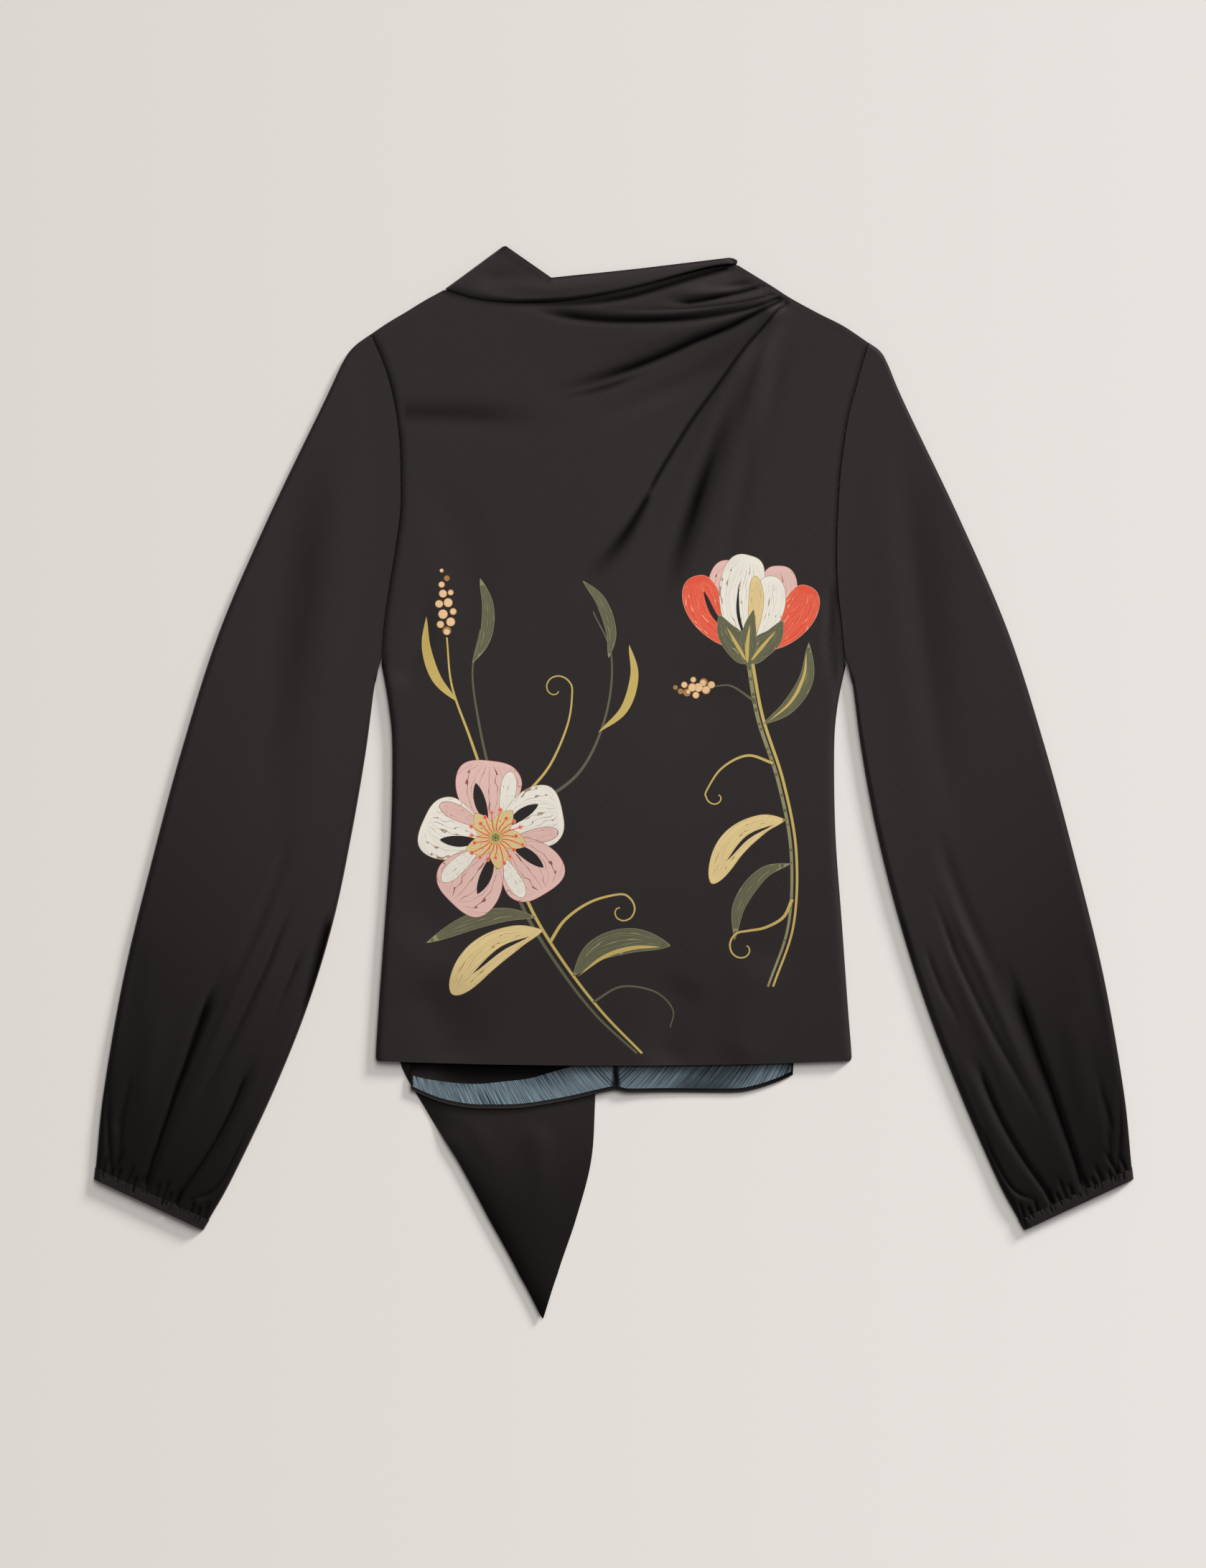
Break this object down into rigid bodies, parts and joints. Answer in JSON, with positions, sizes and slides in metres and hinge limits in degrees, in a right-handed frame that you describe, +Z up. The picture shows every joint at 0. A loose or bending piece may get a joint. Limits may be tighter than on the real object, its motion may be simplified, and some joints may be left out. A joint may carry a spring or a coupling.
{
  "type": "tie-neck blouse, laid flat",
  "caption": "Long-sleeved satin blouse laid flat: draped high neck with folds to one side, tie end hanging behind, full sleeves gathered into elastic cuffs.",
  "frame": {"origin": "on the surface it lies on, under the middle of the blouse", "axes": "+X to the right across the front as seen from above, +Y from the hem to the neck, +Z up out of the front"},
  "size_m": [0.8116, 0.8372, 0.0102],
  "materials": {
    "printed_satin": "black satin with a soft sheen, printed with large pale and coral flowers, olive leaves and gold stems",
    "black_satin": "plain black satin with a soft sheen and fine slubs",
    "blue_facing": "blue-grey cloth with fine light and dark streaks"
  },
  "bodies": {
    "root": {"front": "printed_satin", "back": "black_satin", "back_hem_facing": "blue_facing", "neck_band": "black_satin", "tie_end": "black_satin", "sleeve_left": "black_satin", "sleeve_right": "black_satin", "cuff_left": "black_satin", "cuff_right": "black_satin"}
  },
  "joints": []
}
